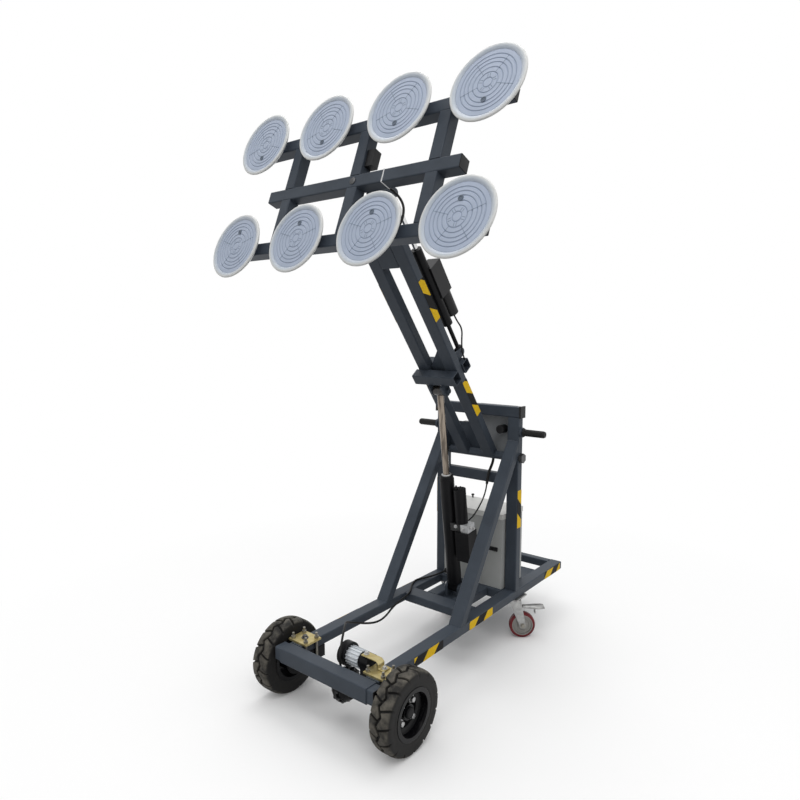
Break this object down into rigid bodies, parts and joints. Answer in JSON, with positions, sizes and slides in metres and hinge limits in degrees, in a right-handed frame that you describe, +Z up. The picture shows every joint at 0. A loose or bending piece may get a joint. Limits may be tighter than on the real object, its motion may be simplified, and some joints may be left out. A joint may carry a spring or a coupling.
{
  "type": "glass panel lifter",
  "caption": "Powered walk-behind lifter for glass panels: wheeled tube chassis, hydraulic boom and a tilting frame of round suction cups.",
  "frame": {"origin": "on the floor under the middle of the machine's bounding box", "axes": "+Z up, -Y the way the suction cups and the drive axle face, +X across the machine"},
  "size_m": [1.337, 1.6, 2.3742],
  "materials": {
    "frame_paint": "dark slate powder coat, satin",
    "black_paint": "black paint, semi-gloss",
    "grey_panel": "grey sheet, satin",
    "light_box": "light grey sheet, satin",
    "bright_steel": "hard-chromed rod, polished",
    "yellow_zinc": "yellow zinc plate",
    "zinc_steel": "bright zinc plate",
    "cast_alloy": "cast, light grey",
    "black_plastic": "black moulded, matt",
    "red_plastic": "red moulded, gloss",
    "black_rubber": "black rubber, matt",
    "tyre_rubber": "brown-black rubber with lugs",
    "red_tread": "dark red polyurethane",
    "grey_core": "grey moulded",
    "cup_disc": "pale blue-grey, ringed face",
    "cup_rubber": "milky translucent lip"
  },
  "bodies": {
    "chassis": {"side_rails": "frame_paint", "front_beam": "frame_paint", "cross_tubes": "frame_paint", "actuator_deck": "frame_paint", "rear_tray": "frame_paint", "posts": "frame_paint", "mast_bars": "frame_paint", "braces": "frame_paint", "end_caps": "black_plastic", "handle_bars": "frame_paint", "handle_grips": "black_rubber", "control_plate": "grey_panel", "pump_plate": "frame_paint", "vacuum_pump": "black_plastic", "estop_body": "black_plastic", "pivot_shaft": "bright_steel", "control_box": "light_box", "box_lid": "light_box", "batteries": "black_plastic", "box_latch": "black_plastic", "axle_housing": "black_paint", "drive_motor": "cast_alloy", "motor_caps": "black_paint", "clamp_plates": "yellow_zinc", "u_bolts": "zinc_steel", "brake_plates": "zinc_steel", "caster_plates": "zinc_steel", "motor_cable": "black_rubber", "pump_cable": "black_rubber"},
    "estop": {"estop_button": "red_plastic"},
    "boom": {"boom_rails": "frame_paint", "boom_crosspieces": "frame_paint", "boom_lugs": "frame_paint", "tilt_tube": "black_paint", "tilt_motor": "black_plastic", "tilt_cable": "black_rubber"},
    "tilt_ram": {"tilt_rod": "bright_steel"},
    "lift_cylinder": {"lift_barrel": "black_paint", "pump_block": "cast_alloy", "power_unit": "black_paint"},
    "lift_ram": {"lift_rod": "bright_steel"},
    "suction_frame": {"lateral_tubes": "frame_paint", "vertical_tubes": "frame_paint", "frame_lugs": "frame_paint", "vacuum_valve": "black_plastic", "cup_plates": "cup_disc", "cup_lips": "cup_rubber", "head_hose": "black_rubber"},
    "left_wheel": {"left_tyre": "tyre_rubber", "left_rim": "black_paint"},
    "left_caster": {"left_caster_fork": "zinc_steel"},
    "left_caster_wheel": {"left_caster_tread": "red_tread", "left_caster_core": "grey_core"},
    "left_pedal": {"left_caster_pedal": "zinc_steel"},
    "right_wheel": {"right_tyre": "tyre_rubber", "right_rim": "black_paint"},
    "right_caster": {"right_caster_fork": "zinc_steel"},
    "right_caster_wheel": {"right_caster_tread": "red_tread", "right_caster_core": "grey_core"},
    "right_pedal": {"right_caster_pedal": "zinc_steel"}
  },
  "joints": [
    {"name": "left_wheel_spin", "type": "hinge", "parent": "chassis", "child": "left_wheel", "pos_m": [-0.31, -0.65, 0.15], "axis": [1, 0, 0], "continuous": true},
    {"name": "left_caster_swivel", "type": "hinge", "parent": "chassis", "child": "left_caster", "pos_m": [-0.2, 0.34, 0.2], "axis": [0, 0, 1], "continuous": true},
    {"name": "left_caster_roll", "type": "hinge", "parent": "left_caster", "child": "left_caster_wheel", "pos_m": [-0.16891, 0.36517, 0.0625], "axis": [0.6293, -0.7771, 0], "continuous": true},
    {"name": "left_brake_pedal", "type": "hinge", "parent": "left_caster", "child": "left_pedal", "pos_m": [-0.2, 0.34, 0.1505], "axis": [-0.6293, 0.7771, 0], "range_deg": [0, 12]},
    {"name": "right_wheel_spin", "type": "hinge", "parent": "chassis", "child": "right_wheel", "pos_m": [0.31, -0.65, 0.15], "axis": [1, 0, 0], "continuous": true},
    {"name": "right_caster_swivel", "type": "hinge", "parent": "chassis", "child": "right_caster", "pos_m": [0.2, 0.34, 0.2], "axis": [0, 0, 1], "continuous": true},
    {"name": "right_caster_roll", "type": "hinge", "parent": "right_caster", "child": "right_caster_wheel", "pos_m": [0.23109, 0.36517, 0.0625], "axis": [0.6293, -0.7771, 0], "continuous": true},
    {"name": "right_brake_pedal", "type": "hinge", "parent": "right_caster", "child": "right_pedal", "pos_m": [0.2, 0.34, 0.1505], "axis": [-0.6293, 0.7771, 0], "range_deg": [0, 12]},
    {"name": "boom_lift", "type": "hinge", "parent": "chassis", "child": "boom", "pos_m": [0, 0.316, 0.889], "axis": [-1, 0, 0], "range_deg": [-50, 8]},
    {"name": "lift_swing", "type": "hinge", "parent": "chassis", "child": "lift_cylinder", "pos_m": [0, 0.125, 0.268], "axis": [-1, 0, 0], "range_deg": [-18, 4], "deforming": ["pump_cable"]},
    {"name": "lift_extend", "type": "slide", "parent": "lift_cylinder", "child": "lift_ram", "axis": [0, -0.1398, 0.9902], "range_m": [-0.31, 0.055]},
    {"name": "head_tilt", "type": "hinge", "parent": "boom", "child": "suction_frame", "pos_m": [0, -0.49153, 1.93759], "axis": [-1, 0, 0], "range_deg": [-30, 30]},
    {"name": "tilt_extend", "type": "slide", "parent": "boom", "child": "tilt_ram", "axis": [0, -0.6101, 0.7923], "range_m": [-0.045, 0.045]},
    {"name": "estop_push", "type": "slide", "parent": "chassis", "child": "estop", "axis": [0, -1, 0], "range_m": [0, 0.0045], "stiffness_N_per_m": 800}
  ],
  "couplings": [
    {"joint": "lift_swing", "follows": "boom_lift", "ratio": 0.345},
    {"joint": "lift_extend", "follows": "boom_lift", "m_per_rad": 0.348},
    {"joint": "tilt_extend", "follows": "head_tilt", "m_per_rad": -0.0764}
  ]
}
